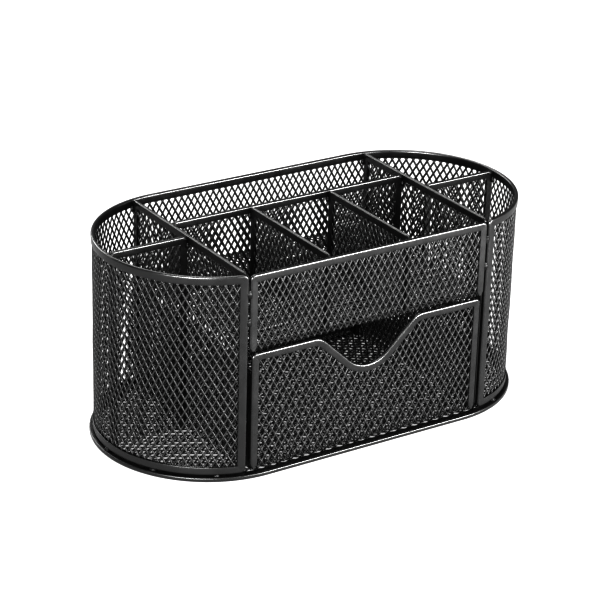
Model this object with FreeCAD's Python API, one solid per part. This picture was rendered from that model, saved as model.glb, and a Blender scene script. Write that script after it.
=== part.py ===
"""Oval desk organizer of black steel mesh, with eight compartments and one drawer.

Units are millimetres. The origin is under the centre of the base.
+X runs along the length to the right end, +Y to the back and +Z up.
Every mesh panel is a plain sheet as thick as the mesh. Its edges sit in folded strips, the bindings.
"""

import math
import os

import FreeCAD
import Part

# Overall size
LENGTH = 220.0
DEPTH = 110.0
HEIGHT = 100.0

# Stock
SHEET = 0.6          # mesh thickness
STRIP = 1.8          # thickness of a folded binding strip
TUCK = 0.9           # how far a sheet's edge stays from the outside of the fold
FOLD_ROUND = 0.6     # rounding along the fold of a strip
CORNER = 2.5         # rounding of a bound panel's top corners
STRIP_END = 1.2      # rounding of a strip's cut end

# Base plate
BASE_THICKNESS = 2.0
BASE_STRIP = 4.0

# Oval wall
BASE_LIP = 1.5       # how far the base stands out past the wall
WALL_SEAM = 0.5      # gap between base and wall, bridged by tack welds
RIM_STRIP = 4.0
POST_STRIP = 4.4
POST_X = 65.2        # inner edge of the two front posts

# Front panel and shelf
PANEL_SEAM = 0.7     # gap between post and front panel
PANEL_TOP = 99.4
PANEL_STRIP = 3.8
SHELF_TOP = 62.5

# Dividers
DIVIDER_STRIP = 3.6
PARTITION_X = 65.4
LONG_DIVIDER_Y = 17.0
CROSS_DIVIDER_X = PARTITION_X / 3
END_GAP = 0.15       # between a divider's end and the curved wall

# Drawer
DRAWER_HALF_WIDTH = 63.0
DRAWER_BOTTOM = BASE_THICKNESS + 0.4
DRAWER_FRONT_TOP = 61.0
DRAWER_RIM = 52.0
DRAWER_BACK = 49.0   # outer face of the drawer's back
DRAWER_STRIP = 3.6
DRAWER_STRIP_FOOT = 1.0  # from the drawer's bottom to the lower ends of its upright strips
BEND_RADIUS = 1.2

# Finger dip in the drawer front
DIP_HALF_WIDTH = 30.0
DIP_DEPTH = 19.3
DIP_SHOULDER = 9.0
DIP_ROUND = 15.0

# Tack welds
BEAD = 0.8
BEAD_HEIGHT = 3.0

END_RADIUS = DEPTH / 2
END_X = LENGTH / 2 - END_RADIUS
WALL_OUTER = END_RADIUS - BASE_LIP
WALL_INNER = WALL_OUTER - STRIP
WALL_MIDDLE = WALL_OUTER - STRIP / 2
WALL_LOW = BASE_THICKNESS + WALL_SEAM
FRONT_Y = -math.sqrt(WALL_MIDDLE**2 - (POST_X - END_X) ** 2)
FRONT_OUTER_Y = FRONT_Y - STRIP / 2
FRONT_INNER_Y = FRONT_Y + STRIP / 2
PANEL_HALF_WIDTH = POST_X - PANEL_SEAM
SHELF_LOW = SHELF_TOP - SHEET

parts = {}


def vector(x, y, z):
    return FreeCAD.Vector(x, y, z)


def box(x, y, z):
    """A block between the two values given for each axis."""
    size = (x[1] - x[0], y[1] - y[0], z[1] - z[0])
    return Part.makeBox(*size, vector(x[0], y[0], z[0]))


def fuse(solids):
    whole = solids[0]
    for solid in solids[1:]:
        whole = whole.fuse(solid)
    return whole.removeSplitter()


def mirror_x(shape):
    return shape.mirror(vector(0, 0, 0), vector(1, 0, 0))


def turned(shape):
    """A panel made along X, turned to run along Y."""
    copy = shape.copy()
    copy.rotate(vector(0, 0, 0), vector(0, 0, 1), 90)
    return copy


def moved(shape, x, y):
    copy = shape.copy()
    copy.translate(vector(x, y, 0))
    return copy


def rounded(shape, radius, wanted):
    """Fillet the edges for which wanted(edge's box) is true."""
    edges = [edge for edge in shape.Edges if wanted(edge.BoundBox)]
    return shape.makeFillet(radius, edges)


def near(a, b):
    return abs(a - b) < 0.01


def is_across(edge):
    """True for a straight edge that runs through a strip's thickness, along Y."""
    return edge.YLength > SHEET and near(edge.XLength, 0) and near(edge.ZLength, 0)


def oval(radius, low, high):
    """An upright solid with straight sides and round ends."""
    ends = []
    for side in (1, -1):
        ends.append(Part.makeCylinder(radius, high - low, vector(side * END_X, 0, low)))
    middle = box((-END_X, END_X), (-radius, radius), (low, high))
    return fuse([middle, *ends])


def oval_band(outer, inner, low, high):
    return oval(outer, low, high).cut(oval(inner, low, high))


def front_gap(half_width):
    """The block that clears the front of the wall between its posts."""
    return box((-half_width, half_width), (-DEPTH, 0), (-1, HEIGHT + 1))


# ---------------------------------------------------------------- base and wall


def make_base():
    ring = oval_band(END_RADIUS, END_RADIUS - BASE_STRIP, 0, BASE_THICKNESS)

    def on_outside(edge):
        flat = near(edge.ZLength, 0)
        return flat and max(abs(edge.YMin), abs(edge.YMax)) > END_RADIUS - 0.1

    ring = rounded(ring, FOLD_ROUND, on_outside)
    middle = BASE_THICKNESS / 2
    sheet = oval(END_RADIUS - TUCK, middle - SHEET / 2, middle + SHEET / 2)
    parts["base_mesh"] = sheet
    parts["base_binding"] = ring.cut(sheet)


def make_wall():
    band = oval_band(WALL_OUTER, WALL_INNER, WALL_LOW, HEIGHT).cut(front_gap(POST_X))

    def at_post_corner(edge):
        on_post = edge.XLength < 0.5 and near(min(abs(edge.XMin), abs(edge.XMax)), POST_X)
        return on_post and near(edge.ZLength, 0)

    band = rounded(band, CORNER, at_post_corner)

    def on_fold(edge):
        across = near(edge.XLength, 0) and near(edge.ZLength, 0)
        side_joins_end = near(edge.XLength, 0) and near(abs(edge.XMin), END_X)
        return not (across or side_joins_end)

    band = rounded(band, FOLD_ROUND, on_fold)
    window = oval_band(WALL_OUTER + 1, WALL_INNER - 1, WALL_LOW + RIM_STRIP, HEIGHT - RIM_STRIP)
    window = window.cut(front_gap(POST_X + POST_STRIP))
    sheet = oval_band(WALL_MIDDLE + SHEET / 2, WALL_MIDDLE - SHEET / 2, WALL_LOW + TUCK, HEIGHT - TUCK)
    sheet = sheet.cut(front_gap(POST_X + TUCK))
    parts["wall_mesh"] = sheet
    parts["wall_binding"] = band.cut(window).cut(sheet)


# ---------------------------------------------------------------- flat bound panels


def binding_frame(half, low, high, width):
    """A strip folded over the top and both upright edges of a flat panel that lies along X."""
    slab = box((-half, half), (-STRIP / 2, STRIP / 2), (low, high))

    def across_at(level):
        return lambda edge: is_across(edge) and near(edge.ZMin, level)

    slab = rounded(slab, CORNER, across_at(high))
    slab = rounded(slab, STRIP_END, across_at(low))

    def on_fold(edge):
        on_face = near(edge.YLength, 0)
        return on_face and not (near(edge.ZMax, low) and near(edge.ZMin, low))

    slab = rounded(slab, FOLD_ROUND, on_fold)
    window = box((-half + width, half - width), (-STRIP, STRIP), (low - 1, high - width))
    return slab.cut(window)


def flat_sheet(half, low, high):
    return box((-half + TUCK, half - TUCK), (-SHEET / 2, SHEET / 2), (low, high - TUCK))


def bound_panel(half, low, high, width):
    sheet = flat_sheet(half, low, high)
    return sheet, binding_frame(half, low, high, width).cut(sheet)


def make_front_and_shelf():
    """One mesh sheet is the front panel and, folded back, the shelf above the drawer."""
    binding = moved(binding_frame(PANEL_HALF_WIDTH, SHELF_TOP, PANEL_TOP, PANEL_STRIP), 0, FRONT_Y)
    upright = moved(flat_sheet(PANEL_HALF_WIDTH, SHELF_LOW, PANEL_TOP), 0, FRONT_Y)
    half = PANEL_HALF_WIDTH - TUCK
    shelf = box((-half, half), (FRONT_Y - SHEET / 2, DEPTH), (SHELF_LOW, SHELF_TOP))
    shelf_half = PARTITION_X - SHEET / 2
    partition_end = FRONT_INNER_Y + DIVIDER_STRIP + 1
    wide = box((-shelf_half, shelf_half), (partition_end, -partition_end), (SHELF_LOW, SHELF_TOP))
    shelf = fuse([shelf, wide]).common(oval(WALL_MIDDLE - SHEET / 2, SHELF_LOW, SHELF_TOP))
    sheet = fuse([upright, shelf])

    def at_bend(edge):
        low_front = near(edge.YMax, FRONT_Y - SHEET / 2) and near(edge.ZMax, SHELF_LOW)
        return low_front and edge.XLength > PANEL_HALF_WIDTH

    parts["front_shelf_mesh"] = rounded(sheet, SHEET * 0.9, at_bend)
    parts["front_panel_binding"] = binding.cut(sheet)


def make_dividers():
    partition_half = math.sqrt(WALL_INNER**2 - (PARTITION_X + STRIP / 2 - END_X) ** 2) - END_GAP
    partition = bound_panel(partition_half, BASE_THICKNESS, HEIGHT, DIVIDER_STRIP)
    cross_half = (LONG_DIVIDER_Y - STRIP / 2 - FRONT_INNER_Y) / 2
    cross_y = FRONT_INNER_Y + cross_half
    cross = bound_panel(cross_half, SHELF_TOP, HEIGHT, DIVIDER_STRIP)
    partition_face = PARTITION_X + STRIP / 2
    end_half = (END_X + WALL_INNER - END_GAP - partition_face) / 2
    end_x = partition_face + end_half
    end = bound_panel(end_half, BASE_THICKNESS, HEIGHT, DIVIDER_STRIP)
    long_half = PARTITION_X - STRIP / 2
    long_divider = bound_panel(long_half, SHELF_TOP, HEIGHT, DIVIDER_STRIP)
    for kind, long_part, partition_part, cross_part, end_part in zip(
        ("mesh", "binding"), long_divider, partition, cross, end
    ):
        parts[f"long_divider_{kind}"] = moved(long_part, 0, LONG_DIVIDER_Y)
        for name, side in (("left", -1), ("right", 1)):
            cross_x = side * CROSS_DIVIDER_X
            parts[f"{name}_partition_{kind}"] = moved(turned(partition_part), side * PARTITION_X, 0)
            parts[f"{name}_cross_divider_{kind}"] = moved(turned(cross_part), cross_x, cross_y)
            parts[f"{name}_end_divider_{kind}"] = moved(end_part, side * end_x, 0)


# ---------------------------------------------------------------- drawer


def drawer_front(inset, low, thickness):
    """The drawer front's plate: a rectangle whose top edge dips in a smooth curve for a finger."""
    half = DRAWER_HALF_WIDTH - inset
    top = DRAWER_FRONT_TOP - inset
    shoulder = DIP_SHOULDER - inset
    trough = DIP_ROUND + inset
    shoulder_z = DRAWER_FRONT_TOP - DIP_SHOULDER
    trough_z = DRAWER_FRONT_TOP - DIP_DEPTH + DIP_ROUND
    drop = shoulder_z - trough_z
    reach = math.hypot(DIP_HALF_WIDTH, drop)
    slope = math.atan2(drop, DIP_HALF_WIDTH) + math.asin((shoulder + trough) / reach)

    def on_circle(centre_x, centre_z, radius, angle):
        return vector(centre_x + radius * math.cos(angle), FRONT_Y, centre_z + radius * math.sin(angle))

    up = math.pi / 2
    shoulder_start = on_circle(DIP_HALF_WIDTH, shoulder_z, shoulder, up)
    shoulder_middle = on_circle(DIP_HALF_WIDTH, shoulder_z, shoulder, up + slope / 2)
    shoulder_end = on_circle(DIP_HALF_WIDTH, shoulder_z, shoulder, up + slope)
    trough_start = on_circle(0, trough_z, trough, slope - up)
    trough_middle = on_circle(0, trough_z, trough, -up)

    def flipped(point):
        return vector(-point.x, point.y, point.z)

    right_top = vector(half, FRONT_Y, top)
    right_low = vector(half, FRONT_Y, low)
    edges = [
        Part.makeLine(flipped(right_low), right_low),
        Part.makeLine(right_low, right_top),
        Part.makeLine(right_top, shoulder_start),
        Part.Arc(shoulder_start, shoulder_middle, shoulder_end).toShape(),
        Part.makeLine(shoulder_end, trough_start),
        Part.Arc(trough_start, trough_middle, flipped(trough_start)).toShape(),
        Part.makeLine(flipped(trough_start), flipped(shoulder_end)),
        Part.Arc(flipped(shoulder_end), flipped(shoulder_middle), flipped(shoulder_start)).toShape(),
        Part.makeLine(flipped(shoulder_start), flipped(right_top)),
        Part.makeLine(flipped(right_top), flipped(right_low)),
    ]
    plate = Part.Face(Part.Wire(edges)).extrude(vector(0, thickness, 0))
    plate.translate(vector(0, -thickness / 2, 0))
    return plate


def make_drawer_front_binding(foot):
    plate = drawer_front(0, foot, STRIP)

    def across_at(level):
        def wanted(edge):
            on_side = near(abs(edge.XMin), DRAWER_HALF_WIDTH)
            return is_across(edge) and on_side and near(edge.ZMin, level)

        return wanted

    plate = rounded(plate, CORNER, across_at(DRAWER_FRONT_TOP))
    plate = rounded(plate, STRIP_END, across_at(foot))

    def on_fold(edge):
        return near(edge.YLength, 0) and edge.ZMax > foot + 0.01

    plate = rounded(plate, FOLD_ROUND, on_fold)
    window = drawer_front(DRAWER_STRIP, foot - 1, STRIP * 2)
    return plate.cut(window)


def make_drawer():
    """One mesh sheet is folded up into the front, the bottom and the back. Two more are the sides."""
    foot = DRAWER_BOTTOM + DRAWER_STRIP_FOOT
    floor = DRAWER_BOTTOM + SHEET
    back_y = DRAWER_BACK - STRIP / 2
    half = DRAWER_HALF_WIDTH - TUCK
    front = drawer_front(TUCK, DRAWER_BOTTOM, SHEET)
    bottom = box((-half, half), (FRONT_Y - SHEET / 2, back_y + SHEET / 2), (DRAWER_BOTTOM, floor))
    back = moved(flat_sheet(DRAWER_HALF_WIDTH, DRAWER_BOTTOM, DRAWER_RIM), 0, back_y)
    tray = fuse([front, bottom, back])

    def at_bend(edge):
        return edge.XLength > DRAWER_HALF_WIDTH and near(edge.ZMax, DRAWER_BOTTOM)

    front_binding = make_drawer_front_binding(foot).cut(tray)
    back_frame = moved(binding_frame(DRAWER_HALF_WIDTH, foot, DRAWER_RIM, DRAWER_STRIP), 0, back_y)
    parts["drawer_tray_mesh"] = rounded(tray, BEND_RADIUS, at_bend)
    parts["drawer_front_binding"] = front_binding
    parts["drawer_back_binding"] = back_frame.cut(tray)
    side_half = (back_y - FRONT_Y - STRIP) / 2
    side_x = half - SHEET
    side_y = (back_y + FRONT_Y) / 2
    side = bound_panel(side_half, floor, DRAWER_RIM, DRAWER_STRIP)
    for kind, side_part in zip(("mesh", "binding"), side):
        for name, sign in (("left", -1), ("right", 1)):
            parts[f"drawer_{name}_side_{kind}"] = moved(turned(side_part), sign * side_x, side_y)


# ---------------------------------------------------------------- tack welds


def bead(x, y, low, high, neighbours):
    """A small upright weld bead that fills the corner between its neighbours."""
    solid = Part.makeCylinder(BEAD, high - low, vector(x, y, low))
    for name in neighbours:
        solid = solid.cut(parts[name])
    return solid


def beads_in_corners(x, y, across, low, neighbours):
    """A bead on each side of a strip's end. across is the unit vector along the strip's thickness."""
    offset = STRIP / 2 + BEAD / 2
    found = []
    for side in (1, -1):
        bead_x = x + side * offset * across[0]
        bead_y = y + side * offset * across[1]
        found.append(bead(bead_x, bead_y, low, low + BEAD_HEIGHT, neighbours))
    return found


def make_base_welds():
    """Beads in the seam between wall and base: at the posts, along the back and round the ends."""
    spots = [(-END_X / 2, WALL_MIDDLE), (END_X / 2, WALL_MIDDLE)]
    for side in (1, -1):
        for degrees in (-64, -32, 0, 32, 64):
            angle = math.radians(degrees)
            spots.append((side * (END_X + WALL_MIDDLE * math.cos(angle)), WALL_MIDDLE * math.sin(angle)))
    found = []
    for x, y in spots:
        found.append(bead(x, y, BASE_THICKNESS, WALL_LOW, []))
    parts["base_tack_welds"] = Part.makeCompound(found)


def make_front_welds():
    """Beads in the seam between each post and the front panel."""
    seam_x = POST_X - PANEL_SEAM / 2
    found = []
    for side in (1, -1):
        for low in (77.5, 91.0):
            neighbours = ["wall_binding", "front_panel_binding", "wall_mesh", "front_shelf_mesh"]
            found.append(bead(side * seam_x, FRONT_Y, low, low + BEAD_HEIGHT, neighbours))
    parts["front_tack_welds"] = Part.makeCompound(found)


def make_divider_welds():
    low = HEIGHT - 2 * BEAD_HEIGHT
    along_x = (1, 0)
    along_y = (0, 1)
    partition_end = -FRONT_INNER_Y - END_GAP
    wall_end = END_X + WALL_INNER - END_GAP
    cross_end = LONG_DIVIDER_Y - STRIP / 2
    face = STRIP / 2
    inset = BEAD / 2
    found = []
    for name, side in (("left", -1), ("right", 1)):
        partition = f"{name}_partition_binding"
        cross = f"{name}_cross_divider_binding"
        end = f"{name}_end_divider_binding"
        partition_x = side * PARTITION_X
        found += beads_in_corners(
            partition_x, partition_end - inset, along_x, low, [partition, "wall_binding"]
        )
        found += beads_in_corners(
            side * (PARTITION_X + face + inset), 0, along_y, low, [partition, end]
        )
        found += beads_in_corners(
            side * (wall_end - inset), 0, along_y, low, [end, "wall_binding"]
        )
        found += beads_in_corners(
            side * (PARTITION_X - face - inset), LONG_DIVIDER_Y, along_y, low,
            [partition, "long_divider_binding"],
        )
        found += beads_in_corners(
            side * CROSS_DIVIDER_X, cross_end - inset, along_x, low, [cross, "long_divider_binding"]
        )
        found += beads_in_corners(
            side * CROSS_DIVIDER_X, FRONT_INNER_Y + inset, along_x, PANEL_TOP - 2 * BEAD_HEIGHT,
            [cross, "front_panel_binding"],
        )
    parts["divider_tack_welds"] = Part.makeCompound(found)


def make_drawer_welds():
    """Beads where each side's ends meet the front and the back."""
    side_x = DRAWER_HALF_WIDTH - TUCK - SHEET
    inner = side_x - STRIP / 2 - BEAD / 2
    found = []
    for name, sign in (("left", -1), ("right", 1)):
        side = f"drawer_{name}_side_binding"
        for y, neighbour in (
            (FRONT_INNER_Y + BEAD / 2, "drawer_front_binding"),
            (DRAWER_BACK - STRIP - BEAD / 2, "drawer_back_binding"),
        ):
            for low in (12.0, 42.0):
                found.append(bead(sign * inner, y, low, low + BEAD_HEIGHT, [side, neighbour]))
    parts["drawer_tack_welds"] = Part.makeCompound(found)


make_base()
make_wall()
make_front_and_shelf()
make_dividers()
make_drawer()
make_base_welds()
make_front_welds()
make_divider_welds()
make_drawer_welds()

os.makedirs("parts", exist_ok=True)
for name, shape in parts.items():
    shape.exportStep(f"parts/{name}.step")
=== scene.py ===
"""Oval desk organizer of black expanded steel mesh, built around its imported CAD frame.

Every mesh sheet is a lattice of real strands and every binding is a folded strip. Both are laid
out flat, in the sheet's own coordinates, and then carried onto the sheet's surface. Lengths are in
metres.
"""

import math

import bmesh
import bpy
import numpy as np
from mathutils import Matrix, Vector


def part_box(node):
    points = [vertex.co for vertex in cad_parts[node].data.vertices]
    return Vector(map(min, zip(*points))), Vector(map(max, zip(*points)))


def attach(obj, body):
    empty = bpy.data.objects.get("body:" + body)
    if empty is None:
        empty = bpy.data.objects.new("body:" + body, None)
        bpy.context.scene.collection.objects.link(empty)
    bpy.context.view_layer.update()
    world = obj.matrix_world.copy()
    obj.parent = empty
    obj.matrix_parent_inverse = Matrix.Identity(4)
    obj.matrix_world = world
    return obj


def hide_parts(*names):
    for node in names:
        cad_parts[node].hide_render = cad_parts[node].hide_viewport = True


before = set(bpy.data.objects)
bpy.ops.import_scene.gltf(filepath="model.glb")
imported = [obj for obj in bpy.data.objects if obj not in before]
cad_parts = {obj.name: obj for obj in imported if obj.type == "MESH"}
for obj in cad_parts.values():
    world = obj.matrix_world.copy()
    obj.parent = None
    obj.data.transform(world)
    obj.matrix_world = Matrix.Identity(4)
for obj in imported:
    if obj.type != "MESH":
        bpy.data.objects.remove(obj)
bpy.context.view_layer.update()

MM = 0.001

# Expanded mesh: a lattice of rhombic openings, taller than wide
CELL_HALF_WIDTH = 1.75 * MM
CELL_HALF_HEIGHT = 3.05 * MM
CELL_MARGIN = 3  # rows of junctions laid out past each edge of a sheet
STRAND_WIDTH = 0.98 * MM
STRAND_FLAT = 0.24 * MM  # width of a strand's flat top and bottom
STRAND_HALF_DEPTH = 0.34 * MM
BLUNT = 0.04 * MM  # half the width of an opening's blunt upper and lower ends
OUTER_BLUNT = 0.5  # share of BLUNT at the sheet's two faces
SIDES = 6  # corners of an opening
LEVELS = 3  # upper face, middle and lower face of a sheet
PINCH_FROM = 2.0 * MM  # a strand's cut end is pressed together past this depth inside a binding
PINCH = 0.35  # share of its length past that depth that it keeps
BOW = 0.16 * MM  # how far a sheet bows off its surface
BOW_FADE = 8 * MM  # the bow dies away over this distance from a binding
BOW_WAVES = (0.018, 0.05)  # shortest and longest wave of the bow
LONG_DIVIDER_CELL = (1.82 * MM, CELL_HALF_HEIGHT)
LONG_DIVIDER_START = -1.31 * MM
SHEET_HALF = 0.3 * MM
EDGE_SLACK = 0.1 * MM  # junctions this far past a sheet's edge still count as on it
PAST_FOOT = 9 * MM  # a divider's window runs on this far below its open edge
WALL_GAP = 0.2 * MM  # from the shelf's junctions to the wall
PANEL_INSET = 0.9 * MM  # from the front panel's junctions to its edges
SHELF_START = 3 * MM  # the shelf is wider than the panel from here, past the fold
FAR = 0.1  # well past the sides of any sheet
FARTHEST = 1  # well past the end of any sheet

# Folded binding strips
STRIP_HALF = 0.9 * MM  # half of a strip's thickness over its two legs
STEEL = 0.42 * MM
LEG_LEAN = 0.10 * MM  # how far each leg's free edge leans inwards
LEG_LIP = ((0.0, 0.45), (0.07 * MM, 0.85), (0.18 * MM, 1.0))  # way back, share of STEEL
LEG_STOPS = (0.35, 0.7)
FOLD_STEPS = 6
RIPPLE_WAVES = (0.012, 0.06)  # shortest and longest wave along a strip
EDGE_WANDER = 0.07  # mm that a leg's free edge strays from its line
WANDER_FROM = 0.3  # share of the strip's width where that begins
LEG_WANDER = 0.03  # mm that a leg's free edge strays off the sheet
MERGE = 0.004 * MM
SHARP_ANGLE = math.radians(50)
CORNER = 2.5 * MM
STRIP_END = 1.2 * MM  # radius of a strip's cut ends
BASE_STRIP = 4 * MM
RIM_STRIP = 4 * MM
POST_STRIP = 4.4 * MM
POST_OFFSET = 0.7 * MM  # from the front panel's edge to the wall's
PANEL_STRIP = 3.8 * MM
DIVIDER_STRIP = 3.6 * MM
DRAWER_STRIP = 3.6 * MM
BASE_SQUARENESS = 0.45  # the base strip's edge is squarer than a half circle
SHELF_FOLD = 0.8 * MM
DRAWER_FOLD = 0.9 * MM
STEP = 2.0 * MM
ARC_STEP = math.radians(9)

# Finger dip in the drawer front
DIP_HALF_WIDTH = 30 * MM
DIP_DEPTH = 19.3 * MM
DIP_SHOULDER = 9 * MM
DIP_ROUND = 15 * MM

# Tack welds: node, body, shift from the CAD bead in mm, half size in mm, seed
DIVIDER_WELDS = "divider_tack_welds"
WELDS = (
    ("base_tack_welds", "organizer", (0, 0, 0), (1.7, 1.4, 1.0), 1),
    ("front_tack_welds", "organizer", (0, -0.4, -2.2), (1.35, 0.75, 2.1), 2),
    ("drawer_tack_welds", "drawer", (0, 0, 0), (0.8, 0.8, 1.5), 4),
    (DIVIDER_WELDS, "organizer", (0, 0, 0), (0.9, 0.9, 1.5), 3),
)
BEAD_MERGE = 0.002 * MM
PAIR_GAP = 3.2 * MM  # two beads closer than this flank the same joint
STRIP_REACH = 4 * MM  # a strip that ends at a joint covers this distance from it
CORNER_LUMP_LONG, CORNER_LUMP_WIDE, CORNER_LUMP_TALL = 1.6 * MM, 1.15 * MM, 1.1 * MM
CORNER_LUMP_ASIDE, CORNER_LUMP_RISE = 1.0 * MM, 3.0 * MM

# Lights: name, place, target, size, power
LIGHTS = (
    ("front_left", (-0.95, -0.85, 0.45), (-0.05, 0, 0.05), (0.8, 0.5), 50),
    ("front_right", (0.45, -1.05, 0.42), (0, 0, 0.03), (0.8, 0.5), 24),
    ("low_right", (0.62, -0.95, 0.16), (0, -0.05, 0.06), (0.7, 0.25), 25),
    ("top", (0, 0, 1.2), (0, 0, 0), (0.6, 0.6), 10),
    ("top_back", (0.1, 0.75, 1.0), (0, 0, 0), (0.8, 0.5), 9),
    ("behind", (-0.45, 1.25, 0.5), (0, 0, 0.05), (0.9, 0.5), 12),
)
WORLD_STRENGTH = 0.35
FLOOR_HALF = 4.0
FLOOR_GREY = 0.2
FLOOR_ROUGHNESS = 0.9
FLOOR_GLOSS = 0.2
FLOOR_GLOW = 0.6
EXPOSURE = 0.2
GAMMA = 0.5

# Camera
CAMERA_AZIMUTH = math.radians(-33.47)
CAMERA_ELEVATION = math.radians(23.94)
CAMERA_ROLL = math.radians(1.64)
CAMERA_DISTANCE = 1102.6 * MM
CAMERA_TARGET_HEIGHT = 50 * MM
CAMERA_ASIDE = (3.34, 3.20)  # mm
CAMERA_SENSOR = 36
CAMERA_LENS = 139.24
CAMERA_CLIP = (0.05, 30)


def rows(*values):
    """Columns of coordinates as one array of points."""
    return np.stack(np.broadcast_arrays(*values), axis=-1).astype(float)


def make_piece(name, points, faces, body, material):
    """A shaded mesh object that stands for the CAD node of its name and rides on its body."""
    mesh = bpy.data.meshes.new(name)
    mesh.from_pydata(points.tolist(), [], faces)
    mesh.materials.append(material)
    mesh.polygons.foreach_set("use_smooth", np.ones(len(mesh.polygons), bool))
    mesh.update()
    piece = bpy.data.objects.new("black_" + name, mesh)
    bpy.context.scene.collection.objects.link(piece)
    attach(piece, body)
    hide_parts(name)
    return piece


# ---------------------------------------------------------------- surfaces
#
# A surface turns flat coordinates (u, v) and a distance w off the sheet into points.


def bend_at(before, corner, after, radius):
    """A rounded corner's directions in and out, its turn, and the length it cuts off each leg."""
    ahead = (corner - before) / np.linalg.norm(corner - before)
    onward = (after - corner) / np.linalg.norm(after - corner)
    turn = math.atan2(ahead[0] * onward[1] - ahead[1] * onward[0], float(ahead @ onward))
    return ahead, onward, turn, radius * math.tan(abs(turn) / 2)


def flat_surface(origin, along, up):
    origin, along, up = (np.array(a, float) for a in (origin, along, up))
    off = np.cross(along, up)

    def place(u, v, w):
        return origin + rows(u, u, u) * along + rows(v, v, v) * up + rows(w, w, w) * off

    return place


def folded_surface(corners, radius):
    """A sheet folded across X: u is x, and v runs along the rounded path through (y, z) corners.

    Its length along v and the middle of each right-angled fold come with it.
    """
    corners = [np.array(c, float) for c in corners]
    runs = []
    start, reached = corners[0], 0.0
    for before, corner, after in zip(corners, corners[1:], corners[2:]):
        ahead, onward, turn, cut = bend_at(before, corner, after, radius)
        bend = corner - ahead * cut
        size = float(np.linalg.norm(bend - start))
        runs.append((reached, start, ahead, None))
        runs.append((reached + size, bend, ahead, math.copysign(radius, turn)))
        reached += size + radius * abs(turn)
        start = corner + onward * cut
    last = corners[-1] - start
    runs.append((reached, start, last / np.linalg.norm(last), None))
    length = reached + float(np.linalg.norm(last))
    folds = [low + abs(r) * math.pi / 4 for low, _, _, r in runs if r]

    def place(u, v, w):
        u, v, w = (np.array(a, float) for a in np.broadcast_arrays(u, v, w))
        y, z = np.zeros(u.shape), np.zeros(u.shape)
        lows = np.array([run[0] for run in runs])
        which = np.clip(np.searchsorted(lows, v, side="right") - 1, 0, len(runs) - 1)
        for i, (low, begin, ahead, bend) in enumerate(runs):
            mine = which == i
            s, off = v[mine] - low, w[mine]
            left = np.array([-ahead[1], ahead[0]])
            if bend is None:
                forward, sideways = s, off
            else:
                arm = bend - off
                forward, sideways = arm * np.sin(s / bend), bend - arm * np.cos(s / bend)
            y[mine] = begin[0] + ahead[0] * forward + left[0] * sideways
            z[mine] = begin[1] + ahead[1] * forward + left[1] * sideways
        return rows(u, y, z)

    return place, length, folds


def wall_surface(end_x, radius, post_angle):
    """The oval wall: v is z, and u runs from the left post round the back to the right post."""
    arc = (math.pi - post_angle) * radius
    straight = 2 * end_x

    def place(u, v, w):
        left = -math.pi / 2 - post_angle - u / radius
        right = math.pi / 2 - (u - arc - straight) / radius
        angle = np.where(u < arc, left, np.where(u < arc + straight, math.pi / 2, right))
        centre = np.clip(u - arc - end_x, -end_x, end_x)
        return rows(centre + (radius + w) * np.cos(angle), (radius + w) * np.sin(angle), v)

    return place, 2 * arc + straight


def is_mirrored(place, u, v):
    """True where (u, v, w) is left-handed, so that faces have to be turned over."""
    here, along, up, off = (
        place(np.array(u + a), np.array(v + b), np.array(c))
        for a, b, c in ((0, 0, 0), (1e-5, 0, 0), (0, 1e-5, 0), (0, 0, 1e-5))
    )
    return float(np.dot(np.cross(along - here, up - here), off - here)) < 0


# ---------------------------------------------------------------- outlines


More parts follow.
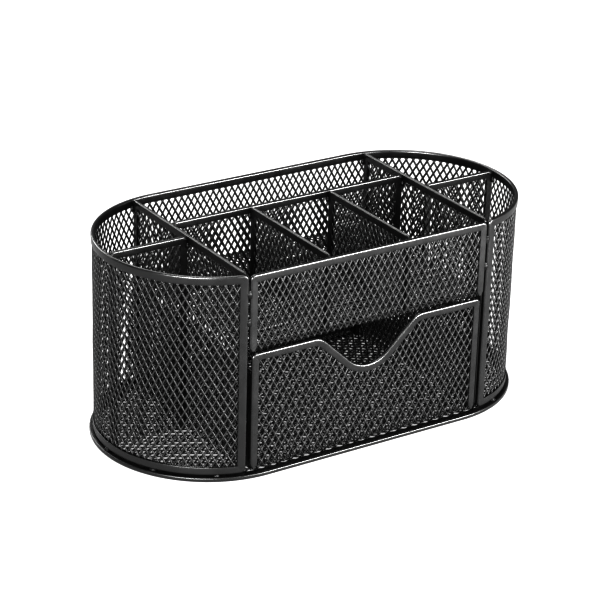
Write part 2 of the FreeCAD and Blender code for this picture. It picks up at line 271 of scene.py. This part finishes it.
class Outline:
    """A rounded path in (u, v) with the sheet on its left.

    inward(d) is the path moved into the sheet by d.
    """

    def __init__(self, corners, radii, closed=False):
        corners = [np.array(c, float) for c in corners]
        count = len(corners)
        self.closed = closed
        samples = []
        order = range(count) if closed else range(1, count - 1)
        bends = {}
        for i in order:
            corner, radius = corners[i], radii[i]
            after = corners[(i + 1) % count]
            ahead, onward, turn, cut = bend_at(corners[i - 1], corner, after, radius)
            bends[i] = (corner - ahead * cut, corner + onward * cut, ahead, onward, turn, radius)

        def add_run(a, b):
            size = float(np.linalg.norm(b - a))
            if size < 1e-7:
                return
            ahead = (b - a) / size
            left = np.array([-ahead[1], ahead[0]])
            steps = max(1, math.ceil(size / STEP))
            for k in range(steps + 1):
                samples.append((a + (b - a) * k / steps, left, a, math.inf, left))

        def add_bend(bend):
            start, _, ahead, onward, turn, radius = bend
            side = math.copysign(1, turn)
            left = np.array([-ahead[1], ahead[0]])
            centre = start + left * radius * side
            out_left = np.array([-onward[1], onward[0]])
            mitre = (left + out_left) / (1 + float(left @ out_left))
            by_angle, by_length = abs(turn) / ARC_STEP, abs(turn) * radius / STEP
            steps = max(2, math.ceil(by_angle), math.ceil(by_length))
            for k in range(1, steps):
                angle = turn * k / steps
                c, s = math.cos(angle), math.sin(angle)
                n = np.array([c * left[0] - s * left[1], s * left[0] + c * left[1]])
                limit = radius if side > 0 else math.inf
                samples.append((centre - n * radius * side, n, centre, limit, mitre))

        if closed:
            for i in range(count):
                add_bend(bends[i])
                add_run(bends[i][1], bends[(i + 1) % count][0])
        else:
            start = corners[0]
            for i in range(1, count - 1):
                add_run(start, bends[i][0])
                add_bend(bends[i])
                start = bends[i][1]
            add_run(start, corners[-1])
        self.point, self.left, self.centre = (np.array([s[k] for s in samples]) for k in (0, 1, 2))
        self.limit = np.array([s[3] for s in samples])
        self.mitre = np.array([s[4] for s in samples])
        gaps = np.linalg.norm(np.diff(self.point, axis=0), axis=1)
        self.s = np.concatenate([[0], np.cumsum(gaps)])
        closing = np.linalg.norm(self.point[0] - self.point[-1]) if closed else 0
        self.length = float(self.s[-1] + closing)

    def inward(self, d):
        """The path's points moved by d, one value for each sample or one for all."""
        d = np.broadcast_to(np.asarray(d, float), self.limit.shape)
        plain = self.point + self.left * d[:, None]
        limited = np.isfinite(self.limit)
        past = np.where(limited, d - np.where(limited, self.limit, 0), 0)
        cornered = self.centre + self.mitre * past[:, None]
        return np.where((d > self.limit)[:, None], cornered, plain)


def past_window(points, window):
    """How far each point lies outside a closed polyline, and the direction straight out of it."""
    a, b = window, np.roll(window, -1, axis=0)
    edge = b - a
    size = np.maximum((edge**2).sum(1), 1e-18)
    rise = np.where(np.abs(edge[:, 1]) < 1e-15, 1e-15, edge[:, 1])
    batch = 8192
    depth = np.empty(len(points))
    out = np.empty((len(points), 2))
    for low in range(0, len(points), batch):
        p = points[low : low + batch, None, :]
        t = np.clip(((p - a) * edge).sum(2) / size, 0, 1)
        gap = p - (a + edge * t[:, :, None])
        distance = np.sqrt((gap**2).sum(2))
        nearest = distance.argmin(1)
        pick = np.arange(len(nearest))
        distance, gap = distance[pick, nearest], gap[pick, nearest]
        above = (a[:, 1] > p[:, :, 1]) != (b[:, 1] > p[:, :, 1])
        crossing = a[:, 0] + (p[:, :, 1] - a[:, 1]) * edge[:, 0] / rise
        inside = (above & (p[:, :, 0] < crossing)).sum(1) % 2 == 1
        depth[low : low + batch] = np.where(inside, -distance, distance)
        out[low : low + batch] = gap / np.maximum(distance, 1e-9)[:, None]
    return depth, out


# ---------------------------------------------------------------- expanded mesh


def waves(seed, count=5):
    """A smooth, repeatable field between about -1 and 1 over the flat coordinates."""
    random = np.random.RandomState(seed)
    pitch = random.uniform(*BOW_WAVES, count)
    heading = random.uniform(0, math.tau, count)
    phase = random.uniform(0, math.tau, count)

    def field(u, v):
        total = 0
        for p, h, f in zip(pitch, heading, phase):
            total = total + np.sin((u * math.cos(h) + v * math.sin(h)) * math.tau / p + f)
        return total / count

    return field


def mesh_sheet(
    name, body, place, window, extent, origin, allowed=None, cell=None, seed=0
):
    """One sheet of expanded mesh.

    Junctions of strands lie at origin + (i, j) * cell for odd i + j. A strand is made where at
    least one of its junctions is inside the window and both are allowed. Past the window it runs
    on into the binding.
    """
    half_width, half_height = cell or (CELL_HALF_WIDTH, CELL_HALF_HEIGHT)
    (u0, v0), (u1, v1) = extent

    def whole_cells(low, high, start, size):
        before, past = (math.floor((value - start) / size) for value in (low, high))
        return before - CELL_MARGIN, past + CELL_MARGIN + 1

    i_low, i_high = whole_cells(u0, u1, origin[0], half_width)
    j_low, j_high = whole_cells(v0, v1, origin[1], half_height)
    across, tall = i_high - i_low, j_high - j_low
    i, j = np.meshgrid(np.arange(across), np.arange(tall), indexing="ij")
    u = origin[0] + (i + i_low) * half_width
    v = origin[1] + (j + j_low) * half_height
    junction = (i + i_low + j + j_low) % 2 == 1
    seen = (past_window(rows(u.ravel(), v.ravel()), window)[0] < 0).reshape(u.shape) & junction
    room = junction if allowed is None else junction & allowed(u, v)

    rising = np.zeros(u.shape, bool)  # the strand up and to the right of each junction
    falling = np.zeros(u.shape, bool)  # the strand up and to the left
    rising[:-1, :-1] = room[:-1, :-1] & room[1:, 1:] & (seen[:-1, :-1] | seen[1:, 1:])
    falling[1:, :-1] = room[1:, :-1] & room[:-1, 1:] & (seen[1:, :-1] | seen[:-1, 1:])
    kept = rising | falling
    kept[1:, 1:] |= rising[:-1, :-1]
    kept[:-1, 1:] |= falling[1:, :-1]

    def corner(ii, jj, side, level):
        return ((ii * tall + jj) * SIDES + side) * LEVELS + level

    east, north_east, north_west, west, south_west, south_east = range(SIDES)
    quads, caps = [], []

    def quad(*corners):
        quads.append(np.stack(corners, axis=1))

    ri, rj = np.nonzero(rising)
    fi, fj = np.nonzero(falling)
    ki, kj = np.nonzero(kept)
    for level, turn in ((0, 1), (2, -1)):
        face = [
            (corner(ri, rj + 1, south_east, level), corner(ri + 1, rj, west, level),
             corner(ri + 1, rj, north_west, level), corner(ri, rj + 1, east, level)),
            (corner(fi - 1, fj, east, level), corner(fi, fj + 1, south_west, level),
             corner(fi, fj + 1, west, level), corner(fi - 1, fj, north_east, level)),
        ]
        for corners in face:
            quad(*corners[::turn])
        around_junction = (
            corner(ki + 1, kj, west, level), corner(ki, kj + 1, south_east, level),
            corner(ki, kj + 1, south_west, level), corner(ki - 1, kj, east, level),
            corner(ki, kj - 1, north_west, level), corner(ki, kj - 1, north_east, level),
        )
        caps.append(np.stack(around_junction[::turn], axis=1))
    for top in (0, 1):
        for hi, hj, a, b in (
            (ri, rj + 1, south_east, east), (ri + 1, rj, north_west, west),
            (fi, fj + 1, west, south_west), (fi - 1, fj, east, north_east),
            (ki, kj + 1, south_west, south_east), (ki, kj - 1, north_east, north_west),
        ):
            quad(corner(hi, hj, a, top), corner(hi, hj, b, top),
                 corner(hi, hj, b, top + 1), corner(hi, hj, a, top + 1))
    below_left = np.roll(rising, (1, 1), (0, 1))
    below_right = np.roll(falling, (-1, 1), (0, 1))
    has = [rising, falling, below_left, below_right]
    around = [
        ((1, 0, west), (0, 1, south_east)),
        ((0, 1, south_west), (-1, 0, east)),
        ((-1, 0, east), (0, -1, north_west)),
        ((0, -1, north_east), (1, 0, west)),
    ]
    for side in range(4):
        ci, cj = np.nonzero(kept & ~has[side])
        (ai, aj, ak), (bi, bj, bk) = around[side]
        ends = [corner(ci + ai, cj + aj, ak, level) for level in (0, 1, 2)]
        ends += [corner(ci + bi, cj + bj, bk, level) for level in (2, 1, 0)]
        caps.append(np.stack(ends, axis=1))

    quads, caps = np.concatenate(quads), np.concatenate(caps)
    used, index = np.unique(np.concatenate([quads.ravel(), caps.ravel()]), return_inverse=True)
    index = index.ravel()
    level, side, hole = used % LEVELS, used // LEVELS % SIDES, used // (LEVELS * SIDES)
    apothem = half_width * half_height / math.hypot(half_width, half_height)
    scale = 1 - np.where(level == 1, STRAND_WIDTH, STRAND_FLAT) / 2 / apothem
    blunt = np.where(level == 1, BLUNT, BLUNT * OUTER_BLUNT)
    tip = half_height * scale - blunt * half_height / half_width
    wide = half_width * scale
    reach_u = np.choose(side, [wide, blunt, -blunt, -wide, -blunt, blunt])
    reach_v = np.array([0, 1, 1, 0, -1, -1])[side] * tip
    flat = rows(
        origin[0] + (hole // tall + i_low) * half_width + reach_u,
        origin[1] + (hole % tall + j_low) * half_height + reach_v,
    )
    depth, out = past_window(flat, window)
    flat -= out * (np.maximum(depth - PINCH_FROM, 0) * (1 - PINCH))[:, None]
    bow = waves(seed)(flat[:, 0], flat[:, 1]) * BOW * np.clip(-depth / BOW_FADE, 0, 1)
    points = place(flat[:, 0], flat[:, 1], (1 - level) * STRAND_HALF_DEPTH + bow)
    turn = -1 if is_mirrored(place, *window.mean(axis=0)) else 1
    quads = index[: quads.size].reshape(-1, 4)[:, ::turn]
    caps = index[quads.size :].reshape(-1, 6)[:, ::turn]
    make_piece(name, points, quads.tolist() + caps.tolist(), body, strand_paint)


# ---------------------------------------------------------------- folded strips


def ripple(s, length, seed, count=7):
    """Smooth, repeatable unevenness along a strip that closes on itself."""
    random = np.random.RandomState(seed)
    shortest, longest = RIPPLE_WAVES
    fewest, most = max(1, int(length / longest)), max(3, int(length / shortest))
    total = np.zeros(len(s))
    for _ in range(count):
        turns = random.randint(fewest, most)
        total += np.sin(s / length * math.tau * turns + random.uniform(0, math.tau))
    return total / count


def strip_section(width, half, square=1.0):
    """Outer and inner line of a folded strip's section, as (depth, across), from leg to leg.

    The fold is a half circle, or a flatter and squarer bend where square is less than 1.
    """
    middle = half - STEEL / 2
    thin = STEEL / 2
    outer, inner = [], []
    for back, share in LEG_LIP:
        for line, sign in ((outer, 1), (inner, -1)):
            line.append((width - back, middle - LEG_LEAN + sign * share * thin))
    for t in LEG_STOPS:
        d = (width - LEG_LIP[-1][0]) * (1 - t) + half * t
        for line, sign in ((outer, 1), (inner, -1)):
            line.append((d, middle - LEG_LEAN * (1 - t) + sign * thin))
    for k in range(FOLD_STEPS + 1):
        angle = math.pi / 2 * k / FOLD_STEPS
        sine, cosine = math.sin(angle) ** square, abs(math.cos(angle)) ** square
        for line, sign in ((outer, 1), (inner, -1)):
            arm = middle + sign * thin
            line.append((half - arm * sine, arm * cosine))
    for line in (outer, inner):
        line += [(d, -w) for d, w in line[-2::-1]]
    return np.array(outer), np.array(inner)


def folded_strip(
    name, body, place, outline, width, half=STRIP_HALF, square=1.0, seed=0
):
    """A steel strip folded over the edge that the outline follows."""
    outer, inner = strip_section(width, half, square)
    section = np.concatenate([outer, inner[::-1]])
    around, count = len(section), len(outline.s)
    uneven = ripple(outline.s, outline.length, seed)
    lean = ripple(outline.s, outline.length, seed + 1)
    first, last = np.zeros(count), np.full(count, width)
    if not outline.closed:
        left = np.minimum(outline.s, outline.length - outline.s)
        short = np.clip(STRIP_END - left, 0, STRIP_END)
        pulled = STRIP_END - np.sqrt(np.maximum(STRIP_END**2 - short**2, 0))
        first, last = first + pulled, last - pulled
    grid = np.empty((count, around, 3))
    for k, (d, w) in enumerate(section):
        stray = uneven * EDGE_WANDER * MM * max(d / width - WANDER_FROM, 0)
        depth = first + (last - first) * d / width + stray
        flat = outline.inward(depth)
        grid[:, k] = place(flat[:, 0], flat[:, 1], w + lean * LEG_WANDER * MM * d / width)
    points = grid.reshape(-1, 3)
    a = np.arange(count if outline.closed else count - 1)
    here, ahead = (row[:, None] * around for row in (a, (a + 1) % count))
    k = np.arange(around)
    m = (k + 1) % around
    quads = np.stack([here + k, ahead + k, ahead + m, here + m], axis=-1).reshape(-1, 4)
    if not outline.closed:
        k = np.arange(len(outer) - 1)
        cap = np.stack([k, k + 1, around - 2 - k, around - 1 - k], axis=-1)
        quads = np.concatenate([quads, cap, (cap + (count - 1) * around)[:, ::-1]])
    piece = make_piece(name, points, quads.tolist(), body, strip_paint)
    finish_strip(piece)


def finish_strip(piece):
    """Close the pinched corners and turn every face outwards."""
    work = bmesh.new()
    work.from_mesh(piece.data)
    bmesh.ops.remove_doubles(work, verts=work.verts, dist=MERGE)
    bmesh.ops.recalc_face_normals(work, faces=work.faces)
    for face in work.faces:
        face.smooth = True
    work.to_mesh(piece.data)
    work.free()
    piece.data.set_sharp_from_angle(angle=SHARP_ANGLE)


# ---------------------------------------------------------------- tack welds


def weld_beads(node):
    """The lowest and highest corner of each separate bead of a CAD node of welds."""
    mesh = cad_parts[node].data
    places = np.array([v.co for v in mesh.vertices], float)
    keys, same = np.unique(
        np.round(places / BEAD_MERGE).astype(int), axis=0, return_inverse=True
    )
    group = np.arange(len(keys))
    same = same.ravel()
    changed = True
    faces = [same[list(p.vertices)] for p in mesh.polygons]
    while changed:
        changed = False
        for face in faces:
            low = group[face].min()
            if (group[face] != low).any():
                group[face] = low
                changed = True
    group = group[same]
    boxes = [(places[group == g].min(0), places[group == g].max(0)) for g in np.unique(group)]
    return sorted(boxes, key=lambda b: tuple(np.round(b[0] * 1e4)))


def weld_nuggets(name, body, lumps, seed):
    """Uneven lumps of weld metal, each with a drop at its top.

    lumps holds a centre and a half size for each.
    """
    random = np.random.RandomState(seed)
    rings, sides = 16, 18
    points, faces = [], []
    for centre, half in lumps:
        phases = random.uniform(0, math.tau, 6)
        first = len(points)
        points.append(centre - (0, 0, half[2]))
        for r in range(1, rings):
            tilt = math.pi * r / rings
            height = -math.cos(tilt)
            neck = 1 - 0.22 * math.exp(-(((height - 0.45) / 0.16) ** 2))
            for k in range(sides):
                turn = math.tau * k / sides
                lump = 1 + 0.07 * math.sin(2 * turn + phases[0] + 2 * tilt)
                lump += 0.05 * math.sin(3 * tilt + phases[1])
                lump += 0.04 * math.sin(5 * turn + phases[2]) * math.sin(4 * tilt + phases[3])
                wide = math.sin(tilt) ** 0.6 * lump * neck
                x, y = (math.copysign(abs(f(turn)) ** 0.8, f(turn)) for f in (math.cos, math.sin))
                points.append(centre + half * (wide * x, wide * y, height))
        points.append(centre + (0, 0, half[2]))
        last = len(points) - 1
        for k in range(sides):
            m = (k + 1) % sides
            faces.append((first, first + 1 + m, first + 1 + k))
            faces.append((last, last - sides + k, last - sides + m))
            for r in range(rings - 2):
                a = first + 1 + r * sides
                faces.append((a + k, a + m, a + sides + m, a + sides + k))
    make_piece(name, np.array(points), faces, body, weld_paint)


def corner_lumps(beads):
    """A lump over each pair of beads, where a strip's rounded top corner leaves a gap."""
    kinds = ("partition", "cross_divider", "end_divider")
    strips = ["long_divider"]
    strips += [f"{side}_{kind}" for side in ("left", "right") for kind in kinds]
    boxes = [corners_of(strip + "_binding") for strip in strips]

    def on_strip(point):
        return any((point > low).all() and (point < high).all() for low, high in boxes)

    found = []
    for i, a in enumerate(beads):
        for b in beads[i + 1 :]:
            if np.linalg.norm(a - b) > PAIR_GAP:
                continue
            middle = (a + b) / 2
            flank_y = abs(a[0] - b[0]) < abs(a[1] - b[1])
            along = np.array((1.0, 0, 0) if flank_y else (0, 1.0, 0))
            onto = next(
                sign for sign in (1, -1) if on_strip(middle + along * sign * STRIP_REACH)
            )
            half = np.where(along > 0, CORNER_LUMP_LONG, CORNER_LUMP_WIDE)
            half[2] = CORNER_LUMP_TALL
            aside = along * onto * CORNER_LUMP_ASIDE
            found.append((middle + aside + np.array((0, 0, CORNER_LUMP_RISE)), half))
    return found


def make_welds():
    for node, body, shift, half, seed in WELDS:
        lumps = [
            ((low + high) / 2 + np.array(shift) * MM, np.array(half) * MM)
            for low, high in weld_beads(node)
        ]
        if node == DIVIDER_WELDS:
            lumps += corner_lumps([centre for centre, _ in lumps])
        weld_nuggets(node, body, lumps, seed)


# ---------------------------------------------------------------- materials


def enamel(name, colour, roughness, rough_spread, peel, peel_size, gloss=1.0):
    """Black baked enamel: a little uneven in colour and gloss, with a fine orange peel."""
    material = bpy.data.materials.new(name)
    material.use_nodes = True
    nodes, links = material.node_tree.nodes, material.node_tree.links
    shader = nodes["Principled BSDF"]
    shader.inputs["Specular IOR Level"].default_value = gloss
    place = nodes.new("ShaderNodeTexCoord")

    def noise(size, detail=3.0, rough=0.5):
        node = nodes.new("ShaderNodeTexNoise")
        node.inputs["Scale"].default_value = 1 / size
        node.inputs["Detail"].default_value = detail
        node.inputs["Roughness"].default_value = rough
        links.new(place.outputs["Object"], node.inputs["Vector"])
        return node.outputs["Fac"]

    def ramp(value, low, high, start=0.3, stop=0.7):
        node = nodes.new("ShaderNodeMapRange")
        node.inputs["From Min"].default_value = start
        node.inputs["From Max"].default_value = stop
        node.inputs["To Min"].default_value = low
        node.inputs["To Max"].default_value = high
        links.new(value, node.inputs["Value"])
        return node.outputs["Result"]

    cloud = noise(11 * MM, 4.0)
    mix = nodes.new("ShaderNodeMix")
    mix.data_type = "RGBA"
    mix.inputs["A"].default_value = (*[c * 0.75 for c in colour], 1)
    mix.inputs["B"].default_value = (*[c * 1.3 for c in colour], 1)
    links.new(ramp(cloud, 0, 1), mix.inputs["Factor"])
    links.new(mix.outputs["Result"], shader.inputs["Base Color"])
    speckle = noise(0.9 * MM, 2.0)
    add = nodes.new("ShaderNodeMath")
    add.operation = "ADD"
    patches = ramp(noise(5 * MM), roughness - rough_spread, roughness + rough_spread)
    links.new(patches, add.inputs[0])
    links.new(ramp(speckle, -rough_spread * 0.6, rough_spread * 0.6), add.inputs[1])
    links.new(add.outputs["Value"], shader.inputs["Roughness"])
    bump = nodes.new("ShaderNodeBump")
    bump.inputs["Strength"].default_value = peel
    bump.inputs["Distance"].default_value = 0.05 * MM
    links.new(noise(peel_size, 3.0, 0.55), bump.inputs["Height"])
    links.new(bump.outputs["Normal"], shader.inputs["Normal"])
    return material


strand_paint = enamel("enamel_on_mesh", (0.005, 0.005, 0.005), 0.46, 0.05, 0.25, 0.5 * MM)
strip_paint = enamel("enamel_on_strip", (0.006, 0.006, 0.006), 0.32, 0.04, 0.30, 0.55 * MM)
weld_paint = enamel("enamel_on_weld", (0.005, 0.005, 0.005), 0.45, 0.05, 0.5, 0.35 * MM, gloss=0.4)


# ---------------------------------------------------------------- base and wall


def corners_of(node):
    low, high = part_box(node)
    return np.array(low), np.array(high)


def box_path(left, bottom, right, top):
    return [(left, bottom), (right, bottom), (right, top), (left, top)]


def make_base():
    low, high = corners_of("base_binding")
    middle = (0, 0, (low[2] + high[2]) / 2)
    radius = high[1]
    edge = Outline(box_path(low[0], low[1], high[0], high[1]), [radius] * 4, closed=True)
    window = edge.inward(BASE_STRIP)[:, ::-1]  # the openings are longest along X here
    crossways = flat_surface(middle, (0, 1, 0), (1, 0, 0))
    extent = (low[1::-1], high[1::-1])
    mesh_sheet("base_mesh", "organizer", crossways, window, extent, (0, 0), seed=1)
    folded_strip(
        "base_binding", "organizer", flat_surface(middle, (1, 0, 0), (0, 1, 0)), edge, BASE_STRIP,
        half=(high[2] - low[2]) / 2, square=BASE_SQUARENESS, seed=1,
    )


def make_wall():
    low, high = corners_of("wall_binding")
    radius = high[1] - STRIP_HALF
    end_x = high[0] - high[1]
    post_x = corners_of("front_panel_binding")[1][0] + POST_OFFSET
    place, length = wall_surface(end_x, radius, math.asin((post_x - end_x) / radius))
    bottom, top = low[2], high[2]
    edge = Outline(box_path(0, bottom, length, top), [CORNER] * 4, closed=True)
    window_low, window_high = bottom + RIM_STRIP, top - RIM_STRIP
    window = np.array(box_path(POST_STRIP, window_low, length - POST_STRIP, window_high))
    extent = ((0, bottom), (length, top))
    origin = (length / 2, window_low)
    mesh_sheet("wall_mesh", "organizer", place, window, extent, origin, seed=2)
    folded_strip("wall_binding", "organizer", place, edge, RIM_STRIP, seed=2)


# ---------------------------------------------------------------- panels


def arch(half, bottom, top):
    """The outline of a panel bound on both uprights and its top, with rounded top corners."""
    corners = [(half, bottom), (half, top), (-half, top), (-half, bottom)]
    return Outline(corners, [0, CORNER, CORNER, 0])


def make_divider(name, body, along_y=False, start=0.0, cell=None, seed=0):
    low, high = corners_of(name + "_binding")
    sheet_low = corners_of(name + "_mesh")[0][2]
    centre = (low + high) / 2
    axis = (0, 1, 0) if along_y else (1, 0, 0)
    place = flat_surface((centre[0], centre[1], 0), axis, (0, 0, 1))
    half = (high - low)[1 if along_y else 0] / 2
    edge = arch(half, low[2], high[2])
    window = edge.inward(DIVIDER_STRIP)
    below = low[2] - PAST_FOOT
    window = np.concatenate([window, [(window[-1][0], below), (window[0][0], below)]])
    foot = sheet_low + STRAND_WIDTH

    def allowed(u, v):
        return v > foot - EDGE_SLACK

    extent = ((-half, sheet_low), (half, high[2]))
    mesh_sheet(
        name + "_mesh", body, place, window, extent, (start, foot), allowed, cell, seed=seed
    )
    folded_strip(name + "_binding", body, place, edge, DIVIDER_STRIP, seed=seed)


def make_front_and_shelf():
    """One sheet is the front panel and, folded back, the shelf above the drawer."""
    low, high = corners_of("front_panel_binding")
    sheet_low, sheet_high = corners_of("front_shelf_mesh")
    front_y = (low[1] + high[1]) / 2
    shelf_z = sheet_low[2] + SHEET_HALF
    place, length, (fold,) = folded_surface(
        [(front_y, high[2]), (front_y, shelf_z), (sheet_high[1], shelf_z)], SHELF_FOLD
    )
    panel = flat_surface((0, front_y, 0), (1, 0, 0), (0, 0, 1))
    half = high[0]
    edge = arch(half, low[2], high[2])
    window = edge.inward(PANEL_STRIP)
    window = rows(window[:, 0], high[2] - window[:, 1])
    inner = window[0][0]
    shelf_window = [
        (-inner, fold), (-FAR, fold), (-FAR, FARTHEST), (FAR, FARTHEST), (FAR, fold), (inner, fold)
    ]
    window = np.concatenate([window, shelf_window])
    wall_radius = sheet_high[1]
    wall_high = corners_of("wall_binding")[1]
    end_x = wall_high[0] - wall_high[1]
    shelf_half = sheet_high[0]

    def allowed(u, v):
        y = sheet_high[1] - (length - v)
        reach = np.maximum(np.abs(u) - end_x, 0)
        inside_wall = np.hypot(reach, np.maximum(y, 0)) < wall_radius - WALL_GAP
        on_panel = np.abs(u) < half - PANEL_INSET
        on_shelf = (np.abs(u) < shelf_half + EDGE_SLACK) & inside_wall
        return np.where(v < fold + SHELF_START, on_panel, on_shelf)

    columns = round(shelf_half / CELL_HALF_WIDTH)
    extent = ((-shelf_half, 0), (shelf_half, length))
    mesh_sheet(
        "front_shelf_mesh", "organizer", place, window, extent, (0, fold), allowed,
        (shelf_half / columns, CELL_HALF_HEIGHT), seed=3,
    )
    folded_strip("front_panel_binding", "organizer", panel, edge, PANEL_STRIP, seed=3)


# ---------------------------------------------------------------- drawer


def drawer_front_outline(half, bottom, top):
    """The drawer front's bound edge: both uprights and the top with its finger dip."""
    drop = DIP_DEPTH - DIP_SHOULDER - DIP_ROUND
    slope = math.atan2(drop, DIP_HALF_WIDTH) + math.asin(
        (DIP_SHOULDER + DIP_ROUND) / math.hypot(DIP_HALF_WIDTH, drop)
    )
    shoulder = DIP_HALF_WIDTH - DIP_SHOULDER * math.tan(slope / 2)
    trough = top - shoulder * math.tan(slope)
    right = [(half, bottom), (half, top), (shoulder, top)]
    left = [(-u, v) for u, v in right[::-1]]
    return Outline(
        [*right, (0, trough), *left],
        [0, CORNER, DIP_SHOULDER, DIP_ROUND, DIP_SHOULDER, CORNER, 0],
    )


def make_drawer():
    """One sheet is folded up into the front, the bottom and the back."""
    low, high = corners_of("drawer_front_binding")
    back_low, back_high = corners_of("drawer_back_binding")
    sheet_low, sheet_high = corners_of("drawer_tray_mesh")
    front_y = (low[1] + high[1]) / 2
    back_y = (back_low[1] + back_high[1]) / 2
    tray_z = sheet_low[2] + SHEET_HALF
    place, length, (front_fold, back_fold) = folded_surface(
        [(front_y, high[2]), (front_y, tray_z), (back_y, tray_z), (back_y, back_high[2])],
        DRAWER_FOLD,
    )
    front_edge = drawer_front_outline(high[0], low[2], high[2])
    back_edge = arch(back_high[0], back_low[2], back_high[2])
    front = front_edge.inward(DRAWER_STRIP)
    back = back_edge.inward(DRAWER_STRIP)[::-1]
    inner = front[0][0]
    window = np.concatenate([
        rows(front[:, 0], high[2] - front[:, 1]),
        [(-inner, front_fold), (-FAR, front_fold), (-FAR, back_fold), (-inner, back_fold)],
        rows(back[:, 0], length - back_high[2] + back[:, 1]),
        [(inner, back_fold), (FAR, back_fold), (FAR, front_fold), (inner, front_fold)],
    ])
    half = sheet_high[0]

    def allowed(u, v):
        return np.abs(u) < half + EDGE_SLACK

    columns = round(half / CELL_HALF_WIDTH)
    lines = round((back_fold - front_fold) / CELL_HALF_HEIGHT)
    extent = ((-half, 0), (half, length))
    mesh_sheet(
        "drawer_tray_mesh", "drawer", place, window, extent, (0, front_fold), allowed,
        (half / columns, (back_fold - front_fold) / lines), seed=4,
    )
    front_panel = flat_surface((0, front_y, 0), (1, 0, 0), (0, 0, 1))
    back_panel = flat_surface((0, back_y, 0), (1, 0, 0), (0, 0, 1))
    folded_strip("drawer_front_binding", "drawer", front_panel, front_edge, DRAWER_STRIP, seed=4)
    folded_strip("drawer_back_binding", "drawer", back_panel, back_edge, DRAWER_STRIP, seed=5)


make_base()
make_wall()
make_front_and_shelf()
make_drawer()
make_divider(
    "long_divider", "organizer", start=LONG_DIVIDER_START, cell=LONG_DIVIDER_CELL, seed=10
)
for number, side in enumerate(("left", "right")):
    make_divider(side + "_partition", "organizer", along_y=True, seed=20 + number)
    make_divider(side + "_cross_divider", "organizer", along_y=True, seed=30 + number)
    make_divider(side + "_end_divider", "organizer", seed=40 + number)
    make_divider(f"drawer_{side}_side", "drawer", along_y=True, seed=50 + number)
make_welds()


# ---------------------------------------------------------------- floor, light and camera

scene = bpy.context.scene
scene.view_settings.view_transform = "Standard"


def make_floor():
    mesh = bpy.data.meshes.new("floor")
    corners = box_path(-FLOOR_HALF, -FLOOR_HALF, FLOOR_HALF, FLOOR_HALF)
    mesh.from_pydata([(x, y, 0) for x, y in corners], [], [(0, 1, 2, 3)])
    table = bpy.data.materials.new("light_table")
    table.use_nodes = True
    inputs = table.node_tree.nodes["Principled BSDF"].inputs
    inputs["Base Color"].default_value = (FLOOR_GREY, FLOOR_GREY, FLOOR_GREY, 1)
    inputs["Roughness"].default_value = FLOOR_ROUGHNESS
    inputs["Specular IOR Level"].default_value = FLOOR_GLOSS
    inputs["Emission Color"].default_value = (1, 1, 1, 1)
    inputs["Emission Strength"].default_value = FLOOR_GLOW
    mesh.materials.append(table)
    floor = bpy.data.objects.new("floor", mesh)
    scene.collection.objects.link(floor)


def area_light(name, place, target, size, power):
    data = bpy.data.lights.new(name, "AREA")
    data.shape = "RECTANGLE"
    data.size, data.size_y = size
    data.energy = power
    light = bpy.data.objects.new(name, data)
    light.visible_camera = False
    light.location = place
    aim = Vector(target) - Vector(place)
    light.rotation_euler = aim.to_track_quat("-Z", "Y").to_euler()
    scene.collection.objects.link(light)


def make_world():
    world = bpy.data.worlds.new("studio")
    world.use_nodes = True
    inputs = world.node_tree.nodes["Background"].inputs
    inputs["Color"].default_value = (1, 1, 1, 1)
    inputs["Strength"].default_value = WORLD_STRENGTH
    scene.world = world


def make_camera():
    azimuth, elevation = CAMERA_AZIMUTH, CAMERA_ELEVATION
    back = Vector((
        math.sin(azimuth) * math.cos(elevation),
        -math.cos(azimuth) * math.cos(elevation),
        math.sin(elevation),
    ))
    right = Vector((math.cos(azimuth), math.sin(azimuth), 0))
    up = back.cross(right)
    x_axis = math.cos(CAMERA_ROLL) * right + math.sin(CAMERA_ROLL) * up
    y_axis = math.cos(CAMERA_ROLL) * up - math.sin(CAMERA_ROLL) * right
    aside, rise = CAMERA_ASIDE
    place = Vector((0, 0, CAMERA_TARGET_HEIGHT)) + back * CAMERA_DISTANCE
    place = place - x_axis * aside * MM + y_axis * rise * MM
    data = bpy.data.cameras.new("camera")
    data.sensor_width = CAMERA_SENSOR
    data.lens = CAMERA_LENS
    data.clip_start, data.clip_end = CAMERA_CLIP
    camera = bpy.data.objects.new("camera", data)
    turn = Matrix((x_axis, y_axis, back)).transposed().to_4x4()
    camera.matrix_world = Matrix.Translation(place) @ turn
    scene.collection.objects.link(camera)
    scene.camera = camera


make_floor()
make_world()
for light in LIGHTS:
    area_light(*light)
scene.view_settings.exposure = EXPOSURE
scene.view_settings.gamma = GAMMA
make_camera()
